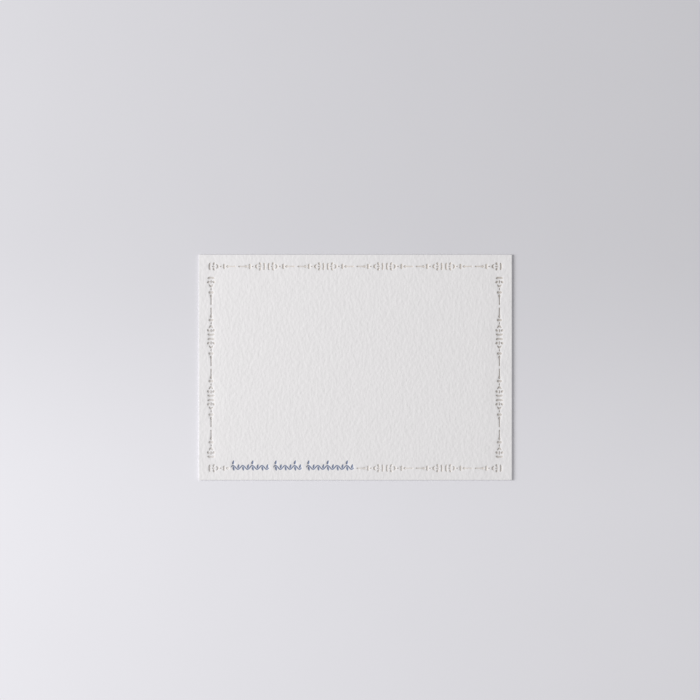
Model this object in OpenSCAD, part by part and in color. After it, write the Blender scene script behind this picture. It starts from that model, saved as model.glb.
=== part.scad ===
// Note card: one sheet of thick cotton stock, lying flat with its printed face up.
// A border of small ornaments is pressed into the face. Left of the middle, the sprigs of a vine
// fill part of the lower border.

/* [Sheet] */

// Width of the card, along X
card_w = 158.75; // [130:0.25:200]
// Height of the card, along Y
card_h = 114.3; // [90:0.1:160]
// Thickness of the stock
card_t = 1; // [0.5:0.05:2]
// Radius that softens the cut edges
edge_r = 0.2; // [0.05:0.01:0.24]
// Depth of the print below the face
press_depth = 0.3; // [0.05:0.01:0.4]

/* [Border] */

// From the top and bottom edges to the centre lines of the rows
row_margin = 6; // [4:0.1:10]
// From the side edges to the centre lines of the columns
column_margin = 6.3; // [4:0.1:10]
// How far a row runs past the centre line of a column
row_overhang = 1.85; // [0:0.05:2]
// From a row's centre line to the end of a column
corner_gap = 4.7; // [4:0.1:8]

/* [Ornament] */

// Bare paper between two ornaments that stand back to back
pair_gap = 1.1; // [0.6:0.1:2]
// Bare paper between neighbouring strokes of an ornament
stroke_gap = 0.3; // [0.25:0.05:0.45]
// Height over the bracket at the ornament's back
back_h = 3.8; // [3:0.1:4.4]
// Breadth of that bracket's stroke
back_w = 0.95; // [0.5:0.05:1]
// How far the bracket's ends lean towards the curled leaves
back_lean = 0.35; // [0.1:0.05:0.5]
// Height over the two curled leaves
curl_h = 4; // [3:0.1:4.4]
// Length of the curled leaves along the border
curl_l = 1.9; // [1.6:0.05:2.4]
// Breadth of a curled leaf
curl_w = 1; // [0.6:0.05:1.1]
// Breadth of the petal between the curled leaves
petal_w = 0.5; // [0.3:0.05:0.6]
// Height of the bud
bud_h = 2.2; // [1.6:0.1:3]
// Length of the bud along the border
bud_l = 1.5; // [1.2:0.05:2]
// Breadth of the bud's crescent
bud_w = 0.95; // [0.6:0.05:1.1]
// Length of the stem between bud and knob
stem_l = 1.4; // [0.8:0.1:2]
// Breadth of the stem
stem_w = 0.42; // [0.2:0.01:0.5]
// Height of the knob
knob_h = 2.7; // [1.8:0.1:3.4]
// Length of the knob along the border
knob_l = 1.25; // [0.7:0.05:1.5]
// Length of the spearhead
spear_l = 1.7; // [1:0.1:2]
// Height of the spearhead
spear_h = 1.2; // [0.7:0.05:1.6]
// Thickness of the rule that runs on from the spearhead
rule_w = 0.38; // [0.2:0.01:0.42]
// Thickness of the drop at the rule's end
drop_w = 0.6; // [0.5:0.01:0.7]
// Shortest length of a rule
rule_min = 2.9; // [2:0.1:6]
// Bare paper between the ends of two rules
rule_gap = 1.2; // [0.6:0.1:2]

/* [Vine] */

// Bare paper between the first ornament and the vine
vine_gap = 0.7; // [0.5:0.1:1.5]
// From the row's centre line up to the middle line of the vine
vine_rise = 0.4; // [0:0.1:1]
// Bare paper between two sprigs of the vine
sprig_gap = 2; // [1.5:0.1:3]
// Least length of one wave of a sprig
wave_min = 4.8; // [4.8:0.1:8]
// Height of a wave above and below the vine's middle line
wave_h = 1; // [0.8:0.05:1.3]
// Thickness of a sprig's stem
vine_w = 0.42; // [0.25:0.01:0.5]
// Length of a leaf in the hollow of a wave
leaf_l = 2.2; // [1.8:0.1:2.6]
// Breadth of a leaf
leaf_w = 0.95; // [0.7:0.05:1.1]
// Length of a leaf that stands on a wave
sprout_l = 2.2; // [1.5:0.1:2.8]

/* [Hidden] */

// Places along one ornament, measured from the middle of the gap at its back
back_x = pair_gap / 2;
curl_x = back_x + back_w + back_lean + stroke_gap;
bud_x = curl_x + curl_l + stroke_gap;
stem_x = bud_x + bud_l + stroke_gap;
knob_x = stem_x + stem_l + stroke_gap;
spear_x = knob_x + knob_l + stroke_gap;
rule_x = spear_x + spear_l;

// A unit is two ornaments whose rules end at its middle. A whole number of units fills each run.
unit_min = 2 * (rule_x + rule_min) + rule_gap;
row_y = card_h / 2 - row_margin;
row_l = card_w - 2 * (column_margin - row_overhang);
row_units = floor(row_l / unit_min);
column_x = card_w / 2 - column_margin;
column_l = 2 * (row_y - corner_gap);
column_units = floor(column_l / unit_min);

// The vine starts past the first ornament of the lower row and ends at the middle of a unit.
vine_halves = 2 * floor(row_units / 2) + 1;
vine_x = rule_x + vine_gap - row_l / 2;
vine_end = row_l * (vine_halves / row_units - 1) / 2 - rule_gap / 2;
// Its sprigs are of uneven length. They start and end at these shares of the vine's waves.
sprig_shares = [0, 0.33, 0.58, 1];
sprigs = len(sprig_shares) - 1;
sprigs_l = vine_end - vine_x - (sprigs - 1) * sprig_gap;
vine_waves = floor(sprigs_l / wave_min);
wave_l = sprigs_l / vine_waves;

// Drawing steps, enough for a smooth stroke at this size
edge_steps = 4;
leaf_steps = 5;
wave_steps = 8;
// How far a cutter stands above the face
cut_over = 1;

// A curve from a to b that bends towards c, and its direction
function curve(a, c, b, t) = (1 - t) * (1 - t) * a + 2 * t * (1 - t) * c + t * t * b;
function curve_direction(a, c, b, t) = (1 - t) * (c - a) + t * (b - c);

// A point beside that curve, on the edge of a stroke that is w wide at its fullest.
// A lean above 1 moves the fullest place towards b, a taper below 1 makes the ends blunt,
// and a waist draws the middle in by that share.
function stroke_edge(a, c, b, w, lean, taper, waist, t) =
    let (
        d = curve_direction(a, c, b, t),
        fullness = pow(max(0, sin(180 * pow(t, lean))), taper) * (1 - waist * pow(sin(180 * t), 12))
    )
    curve(a, c, b, t) + w / 2 * fullness * [-d.y, d.x] / norm(d);

// The outline of a leaf-shaped stroke that closes to a point at both ends
function leaf_outline(a, c, b, w, lean, taper, waist, steps) = concat(
    [for (i = [0 : steps]) stroke_edge(a, c, b, w, lean, taper, waist, i / steps)],
    [for (i = [steps - 1 : -1 : 1]) stroke_edge(a, c, b, -w, lean, taper, waist, i / steps)]
);

// One corner of the sheet's section, rounded from one face to the next
function eased_corner(x, y, from) =
    [for (i = [0 : edge_steps])
        let (turn = from + 90 * i / edge_steps)
        [x + edge_r * cos(turn), y + edge_r * sin(turn)]];

// The sheet's section over one width, standing on the ground
function sheet_section(width) =
    let (side = width / 2 - edge_r, top = card_t - edge_r)
    concat(
        eased_corner(side, top, 0),
        eased_corner(-side, top, 90),
        eased_corner(-side, edge_r, 180),
        eased_corner(side, edge_r, 270)
    );

module leaf(a, c, b, w, lean = 1, taper = 1, waist = 0, steps = leaf_steps) {
    polygon(leaf_outline(a, c, b, w, lean, taper, waist, steps));
}

// What lies above the ornament's centre line, with its mirror image below
module both_sides() {
    children();
    mirror([0, 1]) children();
}

// A bracket, heavy at its ends, that stands back to back with the next ornament's
module bracket() {
    end = [back_x + back_w / 2 + back_lean, back_h / 2];
    belly = [back_x + back_w / 2 - back_lean, 0];
    leaf(end, belly, [end.x, -end.y], back_w, taper = 0.4, waist = 0.4, steps = 8);
}

// Two leaves that curl away from the centre line, with a petal between them
module curls() {
    base = [curl_x + curl_l * 0.4, stroke_gap + petal_w / 2];
    tip = [curl_x + curl_l * 0.8, curl_h / 2];
    both_sides() leaf(base, [curl_x + curl_l / 2, curl_h / 3], tip, curl_w, lean = 1.3, taper = 0.8);
    petal_end = [curl_x + curl_l, 0];
    leaf([curl_x, 0], [curl_x + curl_l / 2, 0], petal_end, petal_w, lean = 0.8, steps = 3);
}

// A crescent that is open towards the curled leaves
module bud() {
    belly = [bud_x + 2 * bud_l - bud_w, 0];
    leaf([bud_x, bud_h / 2], belly, [bud_x, -bud_h / 2], bud_w, steps = 6);
}

module stem() {
    leaf([stem_x, 0], [stem_x + stem_l / 2, 0], [stem_x + stem_l, 0], stem_w, taper = 0.5, steps = 3);
}

// An upright knob, drawn in at the centre line
module knob() {
    middle = knob_x + knob_l / 2;
    top = [middle, knob_h / 2];
    leaf(top, [middle, 0], [middle, -knob_h / 2], knob_l, taper = 0.5, waist = 0.4, steps = 8);
}

// A spearhead that draws out into a rule ending in a drop
module spear(end_x) {
    drop_l = 2 * drop_w;
    side = [
        [spear_x + spear_l / 2, spear_h / 2],
        [rule_x, rule_w / 2],
        [end_x - drop_l, rule_w / 2],
        [end_x - drop_l / 3, drop_w / 2]
    ];
    other_side = [for (i = [len(side) - 1 : -1 : 0]) [side[i].x, -side[i].y]];
    polygon(concat([[spear_x, 0]], side, [[end_x, 0]], other_side));
}

// A spearhead with no rule
module short_spear() {
    leaf([spear_x, 0], [spear_x + spear_l / 2, 0], [rule_x, 0], spear_h, steps = 4);
}

// One ornament without its spearhead, from the gap at its back to the knob
module flower() {
    bracket();
    curls();
    bud();
    stem();
    knob();
}

// The ornaments of a run from number first on: odd ones point back at the one before
module run(length, units, first) {
    unit_l = length / units;
    for (i = [first : 2 * units - 1]) {
        translate([unit_l * ceil(i / 2) - length / 2, 0])
            mirror([i % 2, 0]) {
                flower();
                spear((unit_l - rule_gap) / 2);
            }
    }
}

// A point beside the wavy middle line of a sprig, which is count steps long
function sprig_edge(i, count, w) =
    let (
        turn = 360 * i / wave_steps,
        slope = 2 * PI * wave_h / wave_l * cos(turn),
        taper = (i == 0 || i == count) ? 0 : w / 2
    )
    [wave_l * i / wave_steps, wave_h * sin(turn)] + taper * [-slope, 1] / norm([slope, 1]);

// A wavy stem that closes to a point at both ends
module sprig_stem(waves) {
    count = waves * wave_steps;
    polygon(concat(
        [for (i = [0 : count]) sprig_edge(i, count, vine_w)],
        [for (i = [count - 1 : -1 : 1]) sprig_edge(i, count, -vine_w)]
    ));
}

// A leaf in the hollow of every half wave, by turns below and above
module hollow_leaves(waves) {
    base_y = wave_h - vine_w / 2 - stroke_gap;
    for (i = [0 : 2 * waves - 1]) {
        translate([wave_l / 2 * (i + 0.5), 0])
            mirror([0, i % 2])
                leaf([0, base_y], [leaf_w / 6, base_y - leaf_l / 3], [leaf_w / 2, base_y - leaf_l],
                    leaf_w, steps = 4);
    }
}

// A leaf that stands on every other wave
module sprouts(waves) {
    for (i = [0 : 2 : waves - 1]) {
        translate([wave_l * (i + 0.25), wave_h + vine_w / 2 + stroke_gap])
            leaf([-leaf_w / 3, 0], [0, sprout_l / 3], [leaf_w / 3, sprout_l],
                leaf_w, lean = 0.9, steps = 4);
    }
}

module vine() {
    for (i = [1 : sprigs]) {
        first = round(vine_waves * sprig_shares[i - 1]);
        waves = round(vine_waves * sprig_shares[i]) - first;
        translate([vine_x + first * wave_l + (i - 1) * sprig_gap, vine_rise]) {
            sprig_stem(waves);
            hollow_leaves(waves);
            sprouts(waves);
        }
    }
}

// The lower row: one ornament, the vine, then ornaments to the end
module lower_row() {
    translate([-row_l / 2, 0]) {
        flower();
        short_spear();
    }
    vine();
    run(row_l, row_units, vine_halves);
}

module print() {
    translate([0, row_y]) run(row_l, row_units, 0);
    translate([0, -row_y]) lower_row();
    translate([-column_x, 0]) rotate(-90) run(column_l, column_units, 0);
    translate([column_x, 0]) rotate(-90) run(column_l, column_units, 0);
}

// The bare sheet, square at the corners and eased along every cut edge
module sheet() {
    intersection() {
        rotate([90, 0, 0])
            linear_extrude(card_h, center = true)
                polygon(sheet_section(card_w));
        rotate([90, 0, 90])
            linear_extrude(card_w, center = true)
                polygon(sheet_section(card_h));
    }
}

module card() {
    color([0.9, 0.89, 0.88])
        difference() {
            sheet();
            translate([0, 0, card_t - press_depth])
                linear_extrude(press_depth + cut_over)
                    print();
        }
}

card();
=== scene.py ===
"""Note card of thick cotton stock, with its pressed border and its stage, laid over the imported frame."""

import math

import bpy
import numpy as np
from bpy.props import FloatProperty, FloatVectorProperty, PointerProperty
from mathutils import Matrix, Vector, kdtree, noise
from mathutils.geometry import delaunay_2d_cdt


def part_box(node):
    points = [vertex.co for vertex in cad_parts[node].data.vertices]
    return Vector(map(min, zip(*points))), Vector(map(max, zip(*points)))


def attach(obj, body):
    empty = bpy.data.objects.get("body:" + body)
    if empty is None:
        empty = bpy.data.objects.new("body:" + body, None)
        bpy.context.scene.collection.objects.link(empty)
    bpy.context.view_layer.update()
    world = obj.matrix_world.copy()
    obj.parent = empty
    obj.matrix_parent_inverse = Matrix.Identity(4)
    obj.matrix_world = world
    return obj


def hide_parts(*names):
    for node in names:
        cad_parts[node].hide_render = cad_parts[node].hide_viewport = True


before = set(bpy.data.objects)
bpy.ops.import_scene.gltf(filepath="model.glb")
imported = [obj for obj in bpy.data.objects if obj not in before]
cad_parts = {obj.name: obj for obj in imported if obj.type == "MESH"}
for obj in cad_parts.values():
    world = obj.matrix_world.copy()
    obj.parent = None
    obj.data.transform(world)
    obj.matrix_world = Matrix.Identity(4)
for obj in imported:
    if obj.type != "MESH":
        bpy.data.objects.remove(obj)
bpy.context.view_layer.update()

bl_info = {
    "name": "Note card",
    "version": (1, 0, 0),
    "blender": (4, 5, 0),
    "location": "View3D > Sidebar > Note card",
    "description": "Builds a letterpress note card of thick cotton stock and a plain stage for it",
    "category": "Object",
}

MM = 0.001
CARD_LOW, CARD_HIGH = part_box("card")
CARD_W = CARD_HIGH.x - CARD_LOW.x
CARD_H = CARD_HIGH.y - CARD_LOW.y
CARD_T = CARD_HIGH.z - CARD_LOW.z
CARD_CORNER = np.array([CARD_W, CARD_H]) / 2 / MM

# Material slots of the card, in the order that its faces number them
PAPER, BORDER_INK, VINE_INK, BORDER_WALL, VINE_WALL, CUT_EDGE = range(6)

# Heights closer than this are the same in the CAD card, in millimetres, and so are places that agree to
# this many decimals
SAME_HEIGHT = 1e-3
PLACE_DECIMALS = 4

# Spacing of the card's vertices, in millimetres: along a stroke's outline, from its walls to the ring of
# points around them, over the face near the print, along the cut edges and over the underside
OUTLINE_STEP = 0.18
RING_STEP = 0.1
FACE_STEP = 0.33
RIM_STEP = 1.0
BACK_STEP = 4.0
# Stretches of an outline up to this length are rounded as one bend, in millimetres
BEND_LENGTH = 0.8
# The fewest points of an outline
FEWEST_POINTS = 8
# Share of its distance that a point of a ring keeps from every stroke
RING_CLEARANCE = 0.95
# How far into the bare paper the fine spacing goes on, in steps
FINE_STEPS = 2.5
# The triangulation that fills the whole hull, and the distance in millimetres at which points merge
WHOLE_HULL, MERGE_DISTANCE = 0, 1e-6

# Lengths of the swells in the paper along X and Y, in millimetres, and the seeds of their noise
FELT_LENGTHS, FELT_SEED = (1.5, 2.0), 8.3
COCKLE_LENGTHS, COCKLE_SEED = (6.0, 6.0), 3.7
FRAY_LENGTHS, FRAY_SEED_STEP = (0.9, 0.9), 0.8
# How high the highest marks of the face come, as a share of the heights of its felt and its cockle
CREST = 0.75

# Breadths of stroke, in millimetres, that the press drives in deepest and least deep
THIN_STROKE, BROAD_STROKE = 0.35, 0.75
# Side of the cells in which pressed paper is counted, in millimetres
CROWD_CELL = 0.1
# Shares of pressed paper around a place at which it starts to sink, and at which it has sunk in full
SINK_START, SINK_FULL = 0.15, 0.55
# Share of pressed paper around a place at which the dip along the border is full
DIP_FULL = 0.15

# Shares of the two inks that are left where they lie thinnest
BORDER_THINNEST, VINE_THINNEST = 0.75, 0.85
# Where the painted shade that darkens the ink down the card's two sides starts and is full, in millimetres
# from the middle
SIDE_START, SIDE_FULL = 66, 71
# The border's ink fades along a line: how much X counts there beside Y, and the line's half length
FADE_SLANT, FADE_REACH = 0.7, 135

# The floor: half its side and its drop below the card in metres, the half length of its fade along Y in
# millimetres, and how bright it is behind and before that fade, which is painted light: darker at the back
# and paler towards the reader
FLOOR_REACH, FLOOR_DROP, FLOOR_FADE = 3.0, 0.02 * MM, 80
FLOOR_PAINTED_SHADE, FLOOR_PAINTED_LIGHT = 0.94, 1.11

# The map through which the card's finishes can be baked: the face fills its width, the cut edges lie
# above it as four strips, and the underside is small. A place is in millimetres from its patch's lower
# left.
MAP_NAME = "OFBake"
MAP_MARGIN = 0.004
MAP_SCALE = (1 - 2 * MAP_MARGIN) * MM / CARD_W
STRIP_PITCH = 2 * CARD_T / MM
FACE_PATCH = (MAP_MARGIN, MAP_MARGIN)
EDGE_PATCH = (MAP_MARGIN, 2 * MAP_MARGIN + MAP_SCALE * CARD_H / MM)
BACK_PATCH = (MAP_MARGIN, EDGE_PATCH[1] + 4 * MAP_SCALE * STRIP_PITCH)
BACK_SCALE = (1 - MAP_MARGIN - BACK_PATCH[1]) * MM / CARD_H

# The photograph's frame, and where the card lies in it
PHOTO_SIDE = 700
CARD_PIXELS_WIDE = 313.3
CARD_PIXEL_CENTRE = (355.4, 367.35)


def linear(red, green, blue):
    """A colour given as 0 to 255 on screen, as the linear values that shaders take."""
    shares = (value / 255 for value in (red, green, blue))
    return tuple(s / 12.92 if s <= 0.04045 else ((s + 0.055) / 1.055) ** 2.4 for s in shares)


class StockSettings(bpy.types.PropertyGroup):
    """The sheet: its cut edges, its surface and its colour."""

    edge_radius: FloatProperty(
        name="Edge radius", description="Radius that softens the cut edges",
        default=0.17 * MM, min=0.05 * MM, max=0.4 * MM, precision=5, unit="LENGTH")
    edge_wander: FloatProperty(
        name="Edge wander", description="How far the fibres of a cut edge stand back",
        default=0.03 * MM, min=0, max=0.1 * MM, precision=5, unit="LENGTH")
    cockle: FloatProperty(
        name="Cockle", description="Height of the slow waves in the face",
        default=0.012 * MM, min=0, max=0.1 * MM, precision=6, unit="LENGTH")
    felt: FloatProperty(
        name="Felt", description="Height of the felt marks above and below the face",
        default=0.036 * MM, min=0, max=0.1 * MM, precision=6, unit="LENGTH")
    tooth: FloatProperty(
        name="Tooth", description="Height of the finer texture over the felt marks",
        default=0.16 * MM, min=0, max=0.5 * MM, precision=6, unit="LENGTH")
    paper: FloatVectorProperty(
        name="Paper", description="Colour of the cotton stock",
        default=linear(236, 234, 235), min=0, max=1, size=3, subtype="COLOR")


class PrintSettings(bpy.types.PropertyGroup):
    """The impression: its walls, the paper that gives way around it, and its inks."""

    wall_run: FloatProperty(
        name="Wall run", description="Width of the slope from the face down to a pressed floor",
        default=0.12 * MM, min=0.04 * MM, max=0.12 * MM, precision=5, unit="LENGTH")
    bite: FloatProperty(
        name="Bite", description="Share by which thin strokes go in deeper, and broad ones less deep",
        default=0.25, min=0, max=0.3, subtype="FACTOR")
    shoulder: FloatProperty(
        name="Shoulder", description="Share of the depth that the paper beside a stroke gives way by",
        default=0.05, min=0, max=0.5, subtype="FACTOR")
    shoulder_reach: FloatProperty(
        name="Shoulder reach", description="Distance over which that shoulder rises again",
        default=0.25 * MM, min=0.1 * MM, max=1 * MM, precision=5, unit="LENGTH")
    sink: FloatProperty(
        name="Sink", description="How far the paper sinks where strokes crowd together",
        default=0.25 * MM, min=0, max=0.4 * MM, precision=5, unit="LENGTH")
    sink_reach: FloatProperty(
        name="Sink reach", description="Distance over which the paper sinks together",
        default=0.9 * MM, min=0.3 * MM, max=3 * MM, precision=5, unit="LENGTH")
    dip: FloatProperty(
        name="Dip", description="How far the paper along the border gives way",
        default=0.14 * MM, min=0, max=0.2 * MM, precision=5, unit="LENGTH")
    dip_reach: FloatProperty(
        name="Dip reach", description="Distance over which the paper along the border gives way",
        default=3 * MM, min=1 * MM, max=6 * MM, precision=5, unit="LENGTH")
    border_ink: FloatVectorProperty(
        name="Border ink", description="Colour of the ornaments",
        default=linear(217, 210, 203), min=0, max=1, size=3, subtype="COLOR")
    vine_ink: FloatVectorProperty(
        name="Vine ink", description="Colour of the vine",
        default=linear(143, 155, 182), min=0, max=1, size=3, subtype="COLOR")
    wall_ink: FloatProperty(
        name="Wall ink", description="Share of the ink that the walls of a stroke take up",
        default=0.55, min=0, max=1, subtype="FACTOR")
    # Painted shade: how much darker the ink is painted down the card's two sides, for their side-lit
    # relief
    painted_side_shade: FloatProperty(
        name="Painted side shade", description="Share by which the ink is darker down the card's two sides",
        default=0.21, min=0, max=0.4, subtype="FACTOR")
    fade: FloatProperty(
        name="Fade", description="Share of the border's ink that is lost towards the lower left",
        default=0.45, min=0, max=1, subtype="FACTOR")


class StageSettings(bpy.types.PropertyGroup):
    """The floor, the light and the camera."""

    floor: FloatVectorProperty(
        name="Floor", description="Colour of the floor",
        default=linear(222, 221, 226), min=0, max=1, size=3, subtype="COLOR")
    key_light: FloatProperty(
        name="Key light", description="Brightness that the lamp gives a white card", default=0.51, min=0)
    key_distance: FloatProperty(
        name="Key distance", description="Distance of the lamp from the card",
        default=1.7, min=0.5, max=6, unit="LENGTH")
    key_size: FloatProperty(
        name="Key size", description="Side of the lamp", default=0.9, min=0.1, max=4, unit="LENGTH")
    key_height: FloatProperty(
        name="Key height", description="Angle of the lamp above the floor",
        default=math.radians(32), min=0.1, max=1.5, subtype="ANGLE")
    key_turn: FloatProperty(
        name="Key turn", description="Angle of the lamp from the card's left towards its top",
        default=math.radians(2), min=-1.5, max=1.5, subtype="ANGLE")
    fill_light: FloatProperty(
        name="Fill light", description="Brightness that the surroundings give a white card",
        default=0.44, min=0)
    lens: FloatProperty(
        name="Lens", description="Focal length", default=85, min=20, max=300, unit="CAMERA")


# Outlines of the print

def pressed_loops():
    """The outlines of the CAD card's pressed floors, as (n, 2) arrays in millimetres, and their depth."""
    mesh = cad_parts["card"].data
    places = np.empty(len(mesh.vertices) * 3)
    mesh.vertices.foreach_get("co", places)
    places = places.reshape(-1, 3) / MM
    mesh.calc_loop_triangles()
    corners = np.empty(len(mesh.loop_triangles) * 3, int)
    mesh.loop_triangles.foreach_get("vertices", corners)
    corners = corners.reshape(-1, 3)
    heights = places[corners, 2]
    top = places[:, 2].max()
    middle = (places[:, 2].min() + top) / 2
    level = np.ptp(heights, axis=1) < SAME_HEIGHT
    pressed = level & (heights[:, 0] > middle) & (heights[:, 0] < top - SAME_HEIGHT)
    flat = np.round(places[:, :2], PLACE_DECIMALS)
    spots, numbers = np.unique(flat, axis=0, return_inverse=True)
    numbers = numbers.reshape(-1)
    edges = {
        (int(a), int(b))
        for triangle in numbers[corners[pressed]]
        for a, b in zip(triangle, np.roll(triangle, -1))
    }
    following = {a: b for a, b in edges if (b, a) not in edges}
    loops = []
    while following:
        start, here = following.popitem()
        loop = [start]
        while here != start:
            loop.append(here)
            here = following.pop(here)
        loops.append(spots[loop])
    return loops, top - heights[pressed].min()


def rounded(loop):
    """The loop with its corners cut twice, as a press rounds them, in even steps."""
    points = []
    for here, after in zip(loop, np.roll(loop, -1, axis=0)):
        parts = max(1, math.ceil(np.linalg.norm(after - here) / BEND_LENGTH))
        points.extend(here + (after - here) * i / parts for i in range(parts))
    points = np.array(points)
    for _ in range(2):
        after = np.roll(points, -1, axis=0)
        points = np.stack([0.75 * points + 0.25 * after, 0.25 * points + 0.75 * after], 1).reshape(-1, 2)
    closed = np.vstack([points, points[:1]])
    along = np.concatenate([[0], np.cumsum(np.linalg.norm(np.diff(closed, axis=0), axis=1))])
    steps = max(FEWEST_POINTS, round(along[-1] / OUTLINE_STEP))
    at = np.arange(steps) / steps * along[-1]
    return np.stack([np.interp(at, along, closed[:, i]) for i in range(2)], 1)


def widened(loop, distance):
    """The loop moved outwards by a distance."""
    tangent = np.roll(loop, -1, axis=0) - np.roll(loop, 1, axis=0)
    tangent /= np.linalg.norm(tangent, axis=1, keepdims=True)
    x, y = loop.T
    turn = np.sign(np.sum(x * np.roll(y, -1) - np.roll(x, -1) * y))
    return loop + turn * distance * np.stack([tangent[:, 1], -tangent[:, 0]], 1)


def eased(share):
    """A share held between 0 and 1, with soft ends."""
    share = np.clip(share, 0, 1)
    return share * share * (3 - 2 * share)


def breadth(loop):
    """The mean breadth of a stroke, from its area and the length of its outline."""
    after = np.roll(loop, -1, axis=0)
    area = abs(np.sum(loop[:, 0] * after[:, 1] - after[:, 0] * loop[:, 1])) / 2
    return 2 * area / np.linalg.norm(after - loop, axis=1).sum()


def inside(points, loop):
    """Which points lie inside a loop."""
    hits = np.zeros(len(points), bool)
    x, y = points.T
    for (x1, y1), (x2, y2) in zip(loop, np.roll(loop, -1, axis=0)):
        if y1 != y2:
            hits ^= ((y1 > y) != (y2 > y)) & (x < (x2 - x1) * (y - y1) / (y2 - y1) + x1)
    return hits


def nearest(points, tree):
    """Each point's distance to the nearest point of a tree, in millimetres, and that point's number."""
    found = [tree.find((x, y, 0)) for x, y in points]
    return np.array([f[2] for f in found]), np.array([f[1] for f in found])


def tree_of(points):
    """A tree that finds the nearest of the points."""
    tree = kdtree.KDTree(len(points))
    for i, (x, y) in enumerate(points):
        tree.insert((x, y, 0), i)
    tree.balance()
    return tree


def crowding(loops, points, half_w, half_h, reach):
    """The share of pressed paper around each point, from 0 to 1, over about the given reach."""
    cell = CROWD_CELL
    columns = int(2 * half_w / cell) + 2
    rows = int(2 * half_h / cell) + 2
    field = np.zeros((rows, columns))
    for loop in loops:
        x0, y0 = ((loop.min(0) + (half_w, half_h)) / cell).astype(int)
        x1, y1 = ((loop.max(0) + (half_w, half_h)) / cell).astype(int) + 2
        x, y = np.meshgrid(np.arange(x0, x1), np.arange(y0, y1))
        cells = np.stack([x.ravel() * cell - half_w, y.ravel() * cell - half_h], 1)
        field[y0:y1, x0:x1] += inside(cells, loop).reshape(x.shape)
    furthest = round(3 * reach / cell)
    offsets = np.arange(-furthest, furthest + 1)
    weights = np.exp(-0.5 * (offsets * cell / reach) ** 2)
    weights /= weights.sum()
    for axis in (0, 1):
        field = sum(w * np.roll(field, shift, axis) for w, shift in zip(weights, offsets))
    across, up = (points + (half_w, half_h)).T / cell
    i = np.clip(across.astype(int), 0, columns - 2)
    j = np.clip(up.astype(int), 0, rows - 2)
    a, b = across - i, up - j
    low = (1 - a) * field[j, i] + a * field[j, i + 1]
    high = (1 - a) * field[j + 1, i] + a * field[j + 1, i + 1]
    return (1 - b) * low + b * high


# The card

def perimeter(half_w, half_h):
    """Points round a rectangle from its lower right corner, anticlockwise, and the way out at each.

    With them comes the number of the side that each lies on, and where the step to the next one starts
    and ends along that side.
    """
    corners = [(1, -1), (1, 1), (-1, 1), (-1, -1)]
    spots, ways, runs = [], [], []
    for number, ((ax, ay), (bx, by)) in enumerate(zip(corners, corners[1:] + corners[:1])):
        start = np.array([ax * half_w, ay * half_h])
        end = np.array([bx * half_w, by * half_h])
        length = np.linalg.norm(end - start)
        count = round(length / RIM_STEP)
        side = (np.array([ax, ay]) + np.array([bx, by])) / 2
        for i in range(count):
            spots.append(start + (end - start) * i / count)
            ways.append(np.array([ax, ay]) if i == 0 else side)
            runs.append((number, length * i / count, length * (i + 1) / count))
    return np.array(spots), np.array(ways, float), np.array(runs)


def on_map(places, patch, scale=MAP_SCALE):
    """Places in millimetres from a patch's lower left, as places on the card's map."""
    return np.asarray(places) * scale + patch


def filled(points, loops):
    """A triangulation of points that keeps the loops, each given as its first point and its length.

    With it comes the number of the point that each vertex is made from.
    """
    edges = [
        (start + i, start + (i + 1) % count)
        for start, count in loops
        for i in range(count)
    ]
    found = delaunay_2d_cdt([Vector(p) for p in points], edges, [], WHOLE_HULL, MERGE_DISTANCE, True)
    spots = np.array([(v.x, v.y) for v in found[0]])
    origins = np.array([ids[0] if ids else -1 for ids in found[3]])
    return spots, np.array(found[2]), origins


def nested_grid(half_w, half_h, tree):
    """Points in staggered rows, one step apart near the print and two in the open field.

    With them comes how far each lies from the nearest stroke.
    """
    row_pitch = FACE_STEP * math.sqrt(3) / 2
    columns = int(half_w / FACE_STEP)
    rows = int(half_h / row_pitch)
    i, j = np.meshgrid(np.arange(-columns, columns + 1), np.arange(-rows, rows + 1))
    i, j = i.ravel(), j.ravel()
    points = np.stack([(i + j % 2 / 2) * FACE_STEP, j * row_pitch], 1)
    inner = np.all(np.abs(points) < np.array([half_w, half_h]) - FACE_STEP, axis=1)
    points, i, j = points[inner], i[inner], j[inner]
    away, _ = nearest(points, tree)
    every_other = (j % 2 == 0) & ((i + j // 2) % 2 == 0)
    kept = (away < FINE_STEPS * FACE_STEP) | every_other
    return points[kept], away[kept]


def swell(points, lengths, seed):
    """Noise between about -1 and 1 at each point, with swells of the given lengths along X and Y."""
    return np.array([noise.noise((x, y, seed)) for x, y in points / lengths])


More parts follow.
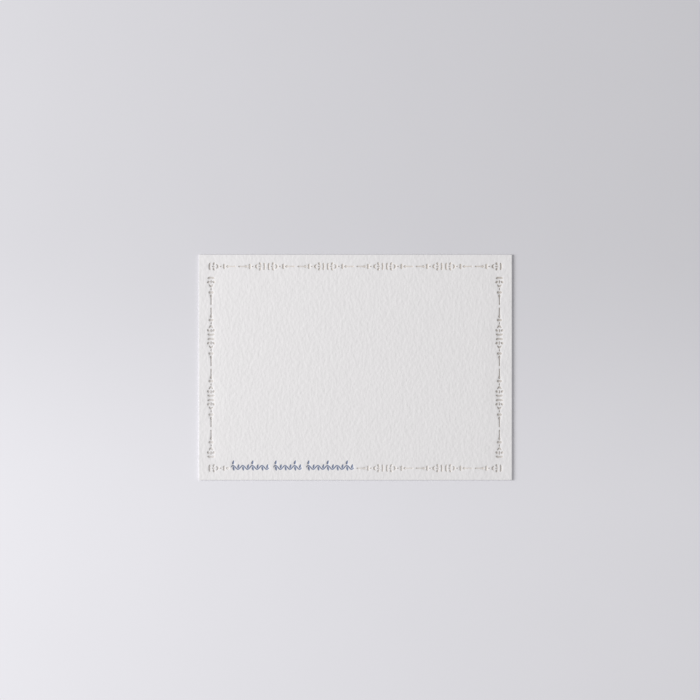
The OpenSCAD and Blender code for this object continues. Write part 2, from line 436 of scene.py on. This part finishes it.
class CardMesh:
    """Collects the vertices and faces of the card in millimetres."""

    def __init__(self):
        self.spots, self.faces, self.slots, self.places = [], [], [], []
        self.count = 0

    def add_spots(self, spots):
        """Adds vertices and gives back their numbers."""
        first = self.count
        self.spots.append(np.asarray(spots, float))
        self.count += len(spots)
        return np.arange(first, self.count)

    def add_faces(self, faces, slots, places):
        """Adds faces with their slots, and the place of every corner on the card's map."""
        self.faces.extend(tuple(int(i) for i in face) for face in faces)
        self.slots.extend(int(s) for s in np.broadcast_to(slots, len(faces)))
        self.places.append(places.reshape(-1))

    def build(self, name, materials):
        """Makes the piece, smooth all over apart from the foot of each stroke's wall."""
        mesh = bpy.data.meshes.new(name)
        mesh.from_pydata([tuple(p) for p in np.vstack(self.spots) * MM], [], self.faces)
        for material in materials:
            mesh.materials.append(material)
        slots = np.array(self.slots)
        mesh.polygons.foreach_set("material_index", slots)
        mesh.polygons.foreach_set("use_smooth", np.ones(len(slots), bool))
        mesh.uv_layers.new(name=MAP_NAME).data.foreach_set("uv", np.concatenate(self.places))
        mesh.update()
        edges = np.empty(len(mesh.loops), int)
        mesh.loops.foreach_get("edge_index", edges)
        inked = np.repeat(np.isin(slots, (BORDER_INK, VINE_INK)), [len(face) for face in self.faces])
        on_floor = np.bincount(edges, inked, len(mesh.edges)) > 0
        on_wall = np.bincount(edges, ~inked, len(mesh.edges)) > 0
        mesh.edges.foreach_set("use_edge_sharp", on_floor & on_wall)
        if mesh.validate():
            raise RuntimeError("the card's mesh has faces that don't hold")
        piece = bpy.data.objects.new(name, mesh)
        bpy.context.scene.collection.objects.link(piece)
        return piece


def vine_loops(loops):
    """Which loops are the vine's: its stems, much longer than the rest, and what grows along them."""
    lengths = [np.linalg.norm(np.diff(loop, axis=0), axis=1).sum() for loop in loops]
    stems = np.vstack([loop for loop, length in zip(loops, lengths) if length > max(lengths) / 3])
    (x0, y0), (x1, y1) = stems.min(0), stems.max(0)
    reach = y1 - y0
    return [
        bool(x0 < loop[:, 0].mean() < x1 and y0 - reach < loop[:, 1].mean() < y1 + reach)
        for loop in loops
    ]


def face_height(stock):
    """The mean height of the face in millimetres: its highest marks reach the card's full thickness."""
    return (CARD_T - CREST * (stock.felt + stock.cockle)) / MM


def add_face(card, stock, press):
    """The printed face, with its pressed strokes, and the number of each vertex on its rim."""
    half_w = (CARD_W / 2 - stock.edge_radius) / MM
    half_h = (CARD_H / 2 - stock.edge_radius) / MM
    top = face_height(stock)
    rim, _, _ = perimeter(half_w, half_h)
    found, depth = pressed_loops()
    floors = [rounded(loop) for loop in found]
    lips = [widened(loop, press.wall_run / MM) for loop in floors]
    floor_points = np.vstack(floors)
    floor_tree = tree_of(floor_points)
    ring = press.wall_run / MM + RING_STEP
    rings = np.vstack([widened(loop, ring) for loop in floors])
    rings = rings[nearest(rings, floor_tree)[0] > RING_CLEARANCE * ring]
    grid, away = nested_grid(half_w, half_h, floor_tree)
    clear = away > ring + RING_STEP
    for loop in lips:
        low, high = loop.min(0), loop.max(0)
        near = np.flatnonzero(clear & np.all((grid > low) & (grid < high), axis=1))
        clear[near[inside(grid[near], loop)]] = False
    points = np.vstack([rim, floor_points, np.vstack(lips), rings, grid[clear]])
    sizes = [len(rim)] + [len(loop) for loop in floors] + [len(loop) for loop in lips]
    starts = np.concatenate([[0], np.cumsum(sizes)[:-1]])
    spots, faces, origins = filled(points, list(zip(starts.tolist(), sizes)))

    stroke_of = np.full(len(points) + 1, -1)
    for number, (start, size) in enumerate(zip(starts[1:], sizes[1:len(floors) + 1])):
        stroke_of[start:start + size] = number
    stroke = stroke_of[origins]
    gap, beside = nearest(spots, floor_tree)
    gap[stroke >= 0] = 0
    thinness = np.interp([breadth(loop) for loop in floors], (THIN_STROKE, BROAD_STROKE), (1, -1))
    bite = 1 + press.bite * np.repeat(thinness, [len(loop) for loop in floors])[beside]
    slope = eased(1 - gap / (press.wall_run / MM))
    shoulder = press.shoulder * np.exp(-gap / (press.shoulder_reach / MM))
    crowd = crowding(lips, spots, half_w, half_h, press.sink_reach / MM)
    sunk = eased((crowd - SINK_START) / (SINK_FULL - SINK_START))
    drawn = crowding(lips, spots, half_w, half_h, press.dip_reach / MM) / DIP_FULL
    drop = depth * bite * ((1 - press.shoulder) * slope + shoulder) + press.sink / MM * sunk
    felt = swell(spots, FELT_LENGTHS, FELT_SEED) * (1 - slope)
    cockle = swell(spots, COCKLE_LENGTHS, COCKLE_SEED)
    ripple = (stock.felt * felt + stock.cockle * cockle - press.dip * drawn) / MM
    numbers = card.add_spots(np.column_stack([spots, top - drop + ripple * (origins >= len(rim))]))

    corners_on_floors = (stroke[faces] >= 0).sum(1)
    blue = np.array(vine_loops(floors) + [False])[stroke[faces].max(1)]
    slots = np.full(len(faces), PAPER)
    slots[corners_on_floors > 0] = np.where(blue, VINE_WALL, BORDER_WALL)[corners_on_floors > 0]
    slots[corners_on_floors == 3] = np.where(blue, VINE_INK, BORDER_INK)[corners_on_floors == 3]
    card.add_faces(numbers[faces], slots, on_map(spots + CARD_CORNER, FACE_PATCH)[faces])
    rim_numbers = np.empty(len(rim), int)
    on_rim = (origins >= 0) & (origins < len(rim))
    rim_numbers[origins[on_rim]] = numbers[on_rim]
    return rim_numbers


def add_edges(card, stock, rim_numbers):
    """The cut edges, from the rim of the face down to the underside, and the underside itself."""
    radius = stock.edge_radius / MM
    half_w = CARD_W / 2 / MM - radius
    half_h = CARD_H / 2 / MM - radius
    top = face_height(stock)
    rim, ways, runs = perimeter(half_w, half_h)
    side, start, end = runs.T
    turns = np.radians([22.5, 45, 67.5, 90])
    profile = [(0, top)]
    profile += [(radius * math.sin(t), top - radius * (1 - math.cos(t))) for t in turns]
    profile += [(radius, top - radius - (top - 2 * radius) * share) for share in (0.25, 0.5, 0.75)]
    profile += [(out, top - up) for out, up in reversed(profile[:len(turns) + 1])]
    lengths = np.linalg.norm(np.diff(profile, axis=0), axis=1)
    levels = np.append(lengths[::-1].cumsum()[::-1], 0)
    upper = rim_numbers
    for row, (out, up) in enumerate(profile[1:]):
        fray = 0.5 + 0.5 * swell(rim, FRAY_LENGTHS, row * FRAY_SEED_STEP)
        back = stock.edge_wander / MM * fray * out / radius
        spots = rim + ways * (out - back)[:, None]
        lower = card.add_spots(np.column_stack([spots, np.full(len(rim), up)]))
        quads = np.stack([upper, lower, np.roll(lower, -1), np.roll(upper, -1)], 1)
        high = side * STRIP_PITCH + levels[row]
        low = side * STRIP_PITCH + levels[row + 1]
        places = np.stack([(start, high), (start, low), (end, low), (end, high)]).transpose(2, 0, 1)
        card.add_faces(quads, CUT_EDGE, on_map(places, EDGE_PATCH))
        upper = lower
    xs = np.arange(-half_w + BACK_STEP, half_w - BACK_STEP / 2, BACK_STEP)
    ys = np.arange(-half_h + BACK_STEP, half_h - BACK_STEP / 2, BACK_STEP)
    grid = np.stack(np.meshgrid(xs, ys), -1).reshape(-1, 2)
    spots, faces, origins = filled(np.vstack([rim, grid]), [(0, len(rim))])
    numbers = np.empty(len(spots), int)
    on_rim = origins < len(rim)
    numbers[on_rim] = upper[origins[on_rim]]
    numbers[~on_rim] = card.add_spots(np.column_stack([spots[~on_rim], np.zeros((~on_rim).sum())]))
    places = on_map(spots * (-1, 1) + CARD_CORNER, BACK_PATCH, BACK_SCALE)
    card.add_faces(numbers[faces][:, ::-1], PAPER, places[faces][:, ::-1])


# Finishes

class Value:
    """A socket in a finish, with arithmetic that adds Math nodes."""

    def __init__(self, finish, socket):
        self.finish, self.socket = finish, socket

    def maths(self, operation, first, second):
        """Adds one Math node."""
        return self.finish.node("ShaderNodeMath", {"operation": operation}, {0: first, 1: second})

    def __add__(self, other):
        return self.maths("ADD", self, other)

    def __mul__(self, other):
        return self.maths("MULTIPLY", self, other)

    __radd__ = __add__
    __rmul__ = __mul__


class Finish:
    """A material under construction."""

    def __init__(self, name):
        self.material = bpy.data.materials.new(name)
        self.material.use_nodes = True
        self.tree = self.material.node_tree
        self.tree.nodes.clear()

    def node(self, kind, settings, sockets, output=0):
        """Adds a node: its settings first, then the values or links of its sockets."""
        made = self.tree.nodes.new(kind)
        for name, value in settings.items():
            setattr(made, name, value)
        for name, value in sockets.items():
            if isinstance(value, Value):
                self.tree.links.new(value.socket, made.inputs[name])
            else:
                made.inputs[name].default_value = value
        return Value(self, made.outputs[output]) if made.outputs else None

    def millimetres(self, stretch=(1, 1, 1)):
        """The place on the object in millimetres, drawn out along each axis."""
        place = self.node("ShaderNodeTexCoord", {}, {}, "Object")
        factor = tuple(1 / (MM * s) for s in stretch)
        return self.node("ShaderNodeVectorMath", {"operation": "MULTIPLY"}, {0: place, 1: factor})

    def grain(self, length, detail=2.0, stretch=(1, 1, 1), roughness=0.5):
        """Noise from 0 to 1 with lumps of about the given length in millimetres."""
        place = self.millimetres(stretch)
        return self.node("ShaderNodeTexNoise", {"noise_dimensions": "3D"}, {
            "Vector": place, "Scale": 1 / length, "Detail": detail, "Roughness": roughness})

    def blend(self, factor, first, second):
        """A colour between two others, which are the Mix node's inputs 6 and 7, and its output 2."""
        return self.node("ShaderNodeMix", {"data_type": "RGBA"}, {
            "Factor": factor, 6: (*first, 1) if isinstance(first, tuple) else first,
            7: (*second, 1) if isinstance(second, tuple) else second}, 2)

    def stepped(self, value, low, high):
        """A value spread from 0 at low to 1 at high."""
        return self.node("ShaderNodeMapRange", {"interpolation_type": "SMOOTHSTEP"}, {
            "Value": value, "From Min": low, "From Max": high})

    def surface(self, height, height_scale, **sockets):
        """Ends the finish with one shader over a bump of the given height."""
        bump = self.node("ShaderNodeBump", {}, {
            "Height": height, "Distance": height_scale, "Strength": 1.0})
        shader = self.node("ShaderNodeBsdfPrincipled", {}, {
            "Normal": bump, **{name.replace("_", " "): value for name, value in sockets.items()},
            "Specular IOR Level": 0.2})
        self.node("ShaderNodeOutputMaterial", {}, {"Surface": shader})
        return self.material


def shade(colour, factor):
    """A colour made lighter or darker by a factor."""
    return tuple(min(1.0, c * factor) for c in colour)


def felt_height(finish):
    """The tooth of the stock: felt marks drawn out along the card's height, and fibres over them."""
    felt = finish.grain(1.35, detail=1.0, stretch=(1, 1.5, 1))
    fibre = finish.grain(0.32, detail=2.0, stretch=(0.8, 1.5, 1))
    fuzz = finish.grain(0.1, detail=1.0)
    return felt * 0.88 + fibre * 0.16 + fuzz * 0.06


def paper_colour(finish, paper):
    """Cotton stock with a faint cloud in its pulp."""
    cloud = finish.grain(7.0, detail=2.0)
    speck = finish.grain(0.6, detail=1.0)
    return finish.blend(cloud * 0.7 + speck * 0.3, shade(paper, 0.975), shade(paper, 1.02))


def paper_finish(stock):
    """Bare cotton stock."""
    finish = Finish("cotton_paper")
    colour = paper_colour(finish, tuple(stock.paper))
    rough = 0.8 + 0.15 * finish.grain(0.8)
    return finish.surface(felt_height(finish), stock.tooth, Base_Color=colour, Roughness=rough)


def edge_finish(stock):
    """Cut fibres, which lie in layers along the edge, with loose ends over them."""
    finish = Finish("cut_edge")
    layers = finish.grain(0.12, detail=2.0, stretch=(6, 6, 1))
    ends = finish.grain(0.2, detail=3.0)
    colour = finish.blend(layers, shade(stock.paper, 0.85), shade(stock.paper, 0.93))
    rough = 0.85 + 0.1 * finish.grain(0.5)
    return finish.surface(layers * 0.4 + ends * 0.6, 0.1 * MM, Base_Color=colour, Roughness=rough)


def ink_finish(name, stock, press, ink, thinnest, fade, share):
    """Ink that soaks into the stock and lies thinner where the tooth stood back from the type.

    Down the card's two sides it is painted darker, as painted shade for the side-lit relief there. To the
    lower left it fades.
    The floor of a stroke takes it up in full, and a wall takes up a share.
    """
    finish = Finish(name)
    cover = finish.stepped(finish.grain(0.5, detail=3.0), 0.2, 0.5)
    place = finish.millimetres()
    across = finish.node("ShaderNodeSeparateXYZ", {}, {0: place}, "X")
    up = finish.node("ShaderNodeSeparateXYZ", {}, {0: place}, "Y")
    sides = finish.stepped(across * across, SIDE_START ** 2, SIDE_FULL ** 2)
    heavy = finish.stepped(across * FADE_SLANT + up, -FADE_REACH, FADE_REACH)
    # Painted shade: the ink is darkened down the card's two sides
    full = finish.blend(sides, tuple(ink), shade(ink, 1 - press.painted_side_shade))
    weight = share * (thinnest + (1 - thinnest) * cover) * (1 - fade + fade * heavy)
    colour = finish.blend(weight, tuple(stock.paper), full)
    rough = 0.7 + 0.15 * finish.grain(0.4)
    return finish.surface(felt_height(finish), stock.tooth * 0.5, Base_Color=colour, Roughness=rough)


# Operators

class NOTECARD_OT_sheet(bpy.types.Operator):
    """Build the card: its printed face, its cut edges and its underside"""

    bl_idname = "notecard.sheet"
    bl_label = "Card"

    def execute(self, context):
        stock = context.scene.note_card_stock
        press = context.scene.note_card_print
        card = CardMesh()
        rim = add_face(card, stock, press)
        add_edges(card, stock, rim)
        border = (stock, press, press.border_ink, BORDER_THINNEST, press.fade)
        vine = (stock, press, press.vine_ink, VINE_THINNEST, 0)
        piece = card.build("printed_card", [
            paper_finish(stock),
            ink_finish("border_ink", *border, 1),
            ink_finish("vine_ink", *vine, 1),
            ink_finish("border_wall", *border, press.wall_ink),
            ink_finish("vine_wall", *vine, press.wall_ink),
            edge_finish(stock),
        ])
        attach(piece, "root")
        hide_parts("card")
        return {"FINISHED"}


class NOTECARD_OT_stage(bpy.types.Operator):
    """Lay the floor and set the light and the camera"""

    bl_idname = "notecard.stage"
    bl_label = "Stage"

    def execute(self, context):
        stage = context.scene.note_card_stage
        self.lay_floor(context, stage)
        self.set_light(context, stage)
        self.set_camera(context, stage)
        context.scene.view_settings.view_transform = "Standard"
        return {"FINISHED"}

    def lay_floor(self, context, stage):
        """A wide floor just under the card, with painted light: darker at the back, paler towards the
        reader.
        """
        mesh = bpy.data.meshes.new("floor")
        corners = [
            (x * FLOOR_REACH, y * FLOOR_REACH, -FLOOR_DROP)
            for x, y in ((-1, -1), (1, -1), (1, 1), (-1, 1))
        ]
        mesh.from_pydata(corners, [], [(0, 1, 2, 3)])
        finish = Finish("floor_paint")
        depth = finish.node("ShaderNodeSeparateXYZ", {}, {0: finish.millimetres()}, "Y")
        # Painted light: the floor's colour falls off towards the back and brightens towards the reader
        fade = finish.stepped(depth, FLOOR_FADE, -FLOOR_FADE) * 0.9 + finish.grain(40.0) * 0.1
        colour = finish.blend(fade, shade(stage.floor, FLOOR_PAINTED_SHADE), shade(stage.floor, FLOOR_PAINTED_LIGHT))
        rough = 0.9 + 0.05 * finish.grain(20.0)
        paint = finish.surface(finish.grain(1.5), 0.004 * MM, Base_Color=colour, Roughness=rough)
        mesh.materials.append(paint)
        floor = bpy.data.objects.new("floor", mesh)
        context.scene.collection.objects.link(floor)

    def set_light(self, context, stage):
        """One large lamp at the card's left, and an even white sky."""
        flat = stage.key_distance * math.cos(stage.key_height)
        lamp = bpy.data.lights.new("key_lamp", "AREA")
        lamp.size = stage.key_size
        # The power at which a white card facing up has the brightness asked for
        lamp.energy = stage.key_light * (math.pi * stage.key_distance) ** 2 / math.sin(stage.key_height)
        key = bpy.data.objects.new("key_lamp", lamp)
        key.location = (
            -flat * math.cos(stage.key_turn),
            flat * math.sin(stage.key_turn),
            stage.key_distance * math.sin(stage.key_height))
        key.rotation_euler = (-key.location).to_track_quat("-Z", "Y").to_euler()
        context.scene.collection.objects.link(key)
        world = bpy.data.worlds.new("studio")
        world.use_nodes = True
        background = world.node_tree.nodes["Background"]
        background.inputs["Color"].default_value = (1, 1, 1, 1)
        background.inputs["Strength"].default_value = stage.fill_light
        context.scene.world = world

    def set_camera(self, context, stage):
        """The camera straight above, with the card where it lies in the photograph's frame."""
        lens = bpy.data.cameras.new("camera")
        lens.lens = stage.lens
        pixel = CARD_W / CARD_PIXELS_WIDE
        height = stage.lens / lens.sensor_width * PHOTO_SIDE * pixel
        camera = bpy.data.objects.new("camera", lens)
        middle = (CARD_LOW + CARD_HIGH) / 2
        camera.location = (
            middle.x + (PHOTO_SIDE / 2 - CARD_PIXEL_CENTRE[0]) * pixel,
            middle.y + (CARD_PIXEL_CENTRE[1] - PHOTO_SIDE / 2) * pixel,
            CARD_HIGH.z + height)
        context.scene.collection.objects.link(camera)
        context.scene.camera = camera


class NOTECARD_PT_panel(bpy.types.Panel):
    """The card's sizes and colours, and what builds it"""

    bl_idname = "NOTECARD_PT_panel"
    bl_label = "Note card"
    bl_space_type = "VIEW_3D"
    bl_region_type = "UI"
    bl_category = "Note card"

    def draw(self, context):
        for name, operator in (
            ("note_card_stock", None),
            ("note_card_print", NOTECARD_OT_sheet),
            ("note_card_stage", NOTECARD_OT_stage),
        ):
            box = self.layout.box()
            group = getattr(context.scene, name)
            for field in group.__annotations__:
                box.prop(group, field)
            if operator:
                box.operator(operator.bl_idname)


SETTINGS = {
    "note_card_stock": StockSettings,
    "note_card_print": PrintSettings,
    "note_card_stage": StageSettings,
}
CLASSES = (*SETTINGS.values(), NOTECARD_OT_sheet, NOTECARD_OT_stage, NOTECARD_PT_panel)


def register():
    for cls in CLASSES:
        bpy.utils.register_class(cls)
    for name, group in SETTINGS.items():
        setattr(bpy.types.Scene, name, PointerProperty(type=group))


def unregister():
    for name in SETTINGS:
        delattr(bpy.types.Scene, name)
    for cls in reversed(CLASSES):
        bpy.utils.unregister_class(cls)


def main():
    """Builds the card and its stage."""
    register()
    bpy.ops.notecard.sheet()
    bpy.ops.notecard.stage()


if __name__ == "__main__":
    main()
